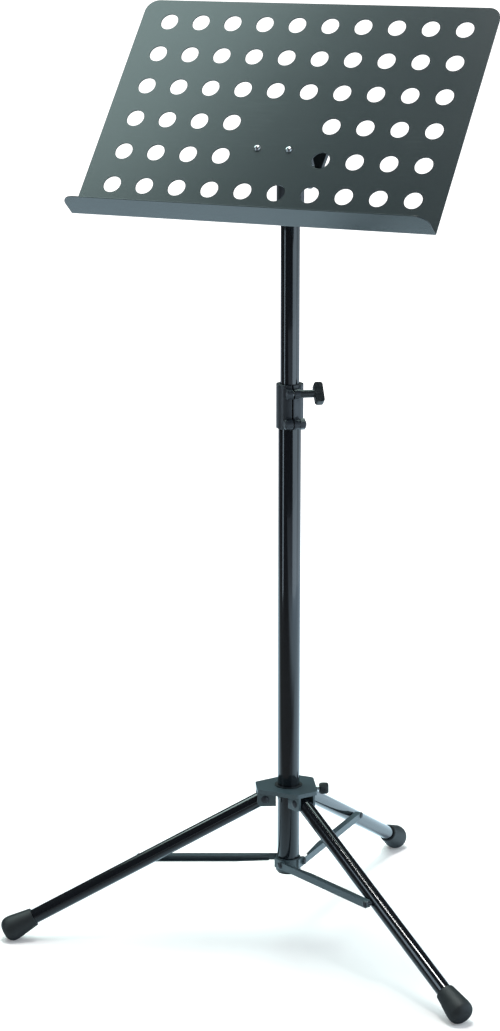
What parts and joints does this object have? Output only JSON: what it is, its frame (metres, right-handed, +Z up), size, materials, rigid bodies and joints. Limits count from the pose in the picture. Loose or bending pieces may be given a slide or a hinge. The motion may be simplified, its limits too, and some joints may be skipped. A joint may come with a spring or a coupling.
{
  "type": "music stand",
  "caption": "Folding music stand: a perforated tilting desk with a ledge, on a telescopic pole over a tripod whose legs fold with a sliding hub and struts.",
  "frame": {"origin": "point on the floor under the pole's axis", "axes": "+Z up along the pole, the desk faces -Y, +X is to the right of the reader, who looks along +Y"},
  "size_m": [0.6852, 0.5978, 1.2512],
  "materials": {
    "gloss_black": "gloss powder coat",
    "satin_black": "satin powder coat",
    "desk_grey": "satin powder coat",
    "hub_grey": "satin powder coat",
    "zinc": "zinc plated",
    "plastic": "fine texture",
    "foot_rubber": "matte"
  },
  "bodies": {
    "pole": {"lower_tube": "gloss_black", "pole_end_plug": "plastic", "guide_bush": "plastic", "clamp_collar": "satin_black", "pinch_bolt": "zinc", "pinch_nut": "zinc", "strut_ring": "hub_grey", "ring_rivets": "zinc"},
    "glide": {"tube_glide": "plastic"},
    "upper": {"upper_tube": "gloss_black", "desk_head": "satin_black", "head_screw": "zinc"},
    "desk": {"desk_plate": "desk_grey", "desk_bracket": "desk_grey", "desk_screws": "zinc", "desk_nuts": "zinc", "tilt_bolt": "zinc", "tilt_washers": "plastic", "knob_washer": "zinc"},
    "tilt_wing_knob": {"tilt_knob": "plastic"},
    "clamp_wing_knob": {"clamp_knob": "plastic", "clamp_screw": "zinc"},
    "hub_carriage": {"hub": "hub_grey", "hub_liner": "plastic", "leg_rivets": "zinc"},
    "hub_lock": {"lock_knob": "plastic", "lock_screw": "zinc"},
    "leg_unit_right": {"leg_right": "gloss_black", "foot_right": "foot_rubber"},
    "strut_unit_right": {"strut_right": "hub_grey", "strut_pin_right": "zinc"},
    "leg_unit_rear": {"leg_rear": "gloss_black", "foot_rear": "foot_rubber"},
    "strut_unit_rear": {"strut_rear": "hub_grey", "strut_pin_rear": "zinc"},
    "leg_unit_left": {"leg_left": "gloss_black", "foot_left": "foot_rubber"},
    "strut_unit_left": {"strut_left": "hub_grey", "strut_pin_left": "zinc"}
  },
  "joints": [
    {"name": "height", "type": "slide", "parent": "pole", "child": "glide", "axis": [0, 0, 1], "range_m": [-0.23, 0.26]},
    {"name": "swivel", "type": "hinge", "parent": "glide", "child": "upper", "pos_m": [0, 0, 0.4273], "axis": [0, 0, 1], "continuous": true},
    {"name": "tilt", "type": "hinge", "parent": "upper", "child": "desk", "pos_m": [0, 0, 1.0413], "axis": [1, 0, 0], "range_deg": [-50, 39]},
    {"name": "tilt_knob_turn", "type": "hinge", "parent": "desk", "child": "tilt_wing_knob", "pos_m": [0.0385, 0, 1.0413], "axis": [1, 0, 0], "range_deg": [0, 360]},
    {"name": "clamp_knob_turn", "type": "hinge", "parent": "pole", "child": "clamp_wing_knob", "pos_m": [0.01347, -0.01788, 0.7543], "axis": [0.7986, 0.6018, 0], "range_deg": [0, 360]},
    {"name": "fold", "type": "slide", "parent": "pole", "child": "hub_carriage", "axis": [0, 0, 1], "range_m": [0, 0.2879]},
    {"name": "lock_knob_turn", "type": "hinge", "parent": "hub_carriage", "child": "hub_lock", "pos_m": [0.03613, 0.02086, 0.2058], "axis": [0.866, 0.5, 0], "range_deg": [0, 360]},
    {"name": "leg_swing_right", "type": "hinge", "parent": "hub_carriage", "child": "leg_unit_right", "pos_m": [0.02858, -0.0165, 0.1958], "axis": [0.5, 0.866, 0], "range_deg": [0, 59.5]},
    {"name": "strut_swing_right", "type": "hinge", "parent": "pole", "child": "strut_unit_right", "pos_m": [0.00779, -0.0045, 0.1025], "axis": [-0.5, -0.866, 0], "range_deg": [0, 78.4]},
    {"name": "leg_swing_rear", "type": "hinge", "parent": "hub_carriage", "child": "leg_unit_rear", "pos_m": [0, 0.033, 0.1958], "axis": [-1, 0, 0], "range_deg": [0, 59.5]},
    {"name": "strut_swing_rear", "type": "hinge", "parent": "pole", "child": "strut_unit_rear", "pos_m": [0, 0.009, 0.1025], "axis": [1, 0, 0], "range_deg": [0, 78.4]},
    {"name": "leg_swing_left", "type": "hinge", "parent": "hub_carriage", "child": "leg_unit_left", "pos_m": [-0.02858, -0.0165, 0.1958], "axis": [0.5, -0.866, 0], "range_deg": [0, 59.5]},
    {"name": "strut_swing_left", "type": "hinge", "parent": "pole", "child": "strut_unit_left", "pos_m": [-0.00779, -0.0045, 0.1025], "axis": [-0.5, 0.866, 0], "range_deg": [0, 78.4]}
  ],
  "couplings": [
    {"joint": "leg_swing_right", "follows": "fold", "rad_per_m": 3.606},
    {"joint": "strut_swing_right", "follows": "fold", "rad_per_m": 4.7517},
    {"joint": "leg_swing_rear", "follows": "fold", "rad_per_m": 3.606},
    {"joint": "strut_swing_rear", "follows": "fold", "rad_per_m": 4.7517},
    {"joint": "leg_swing_left", "follows": "fold", "rad_per_m": 3.606},
    {"joint": "strut_swing_left", "follows": "fold", "rad_per_m": 4.7517}
  ]
}
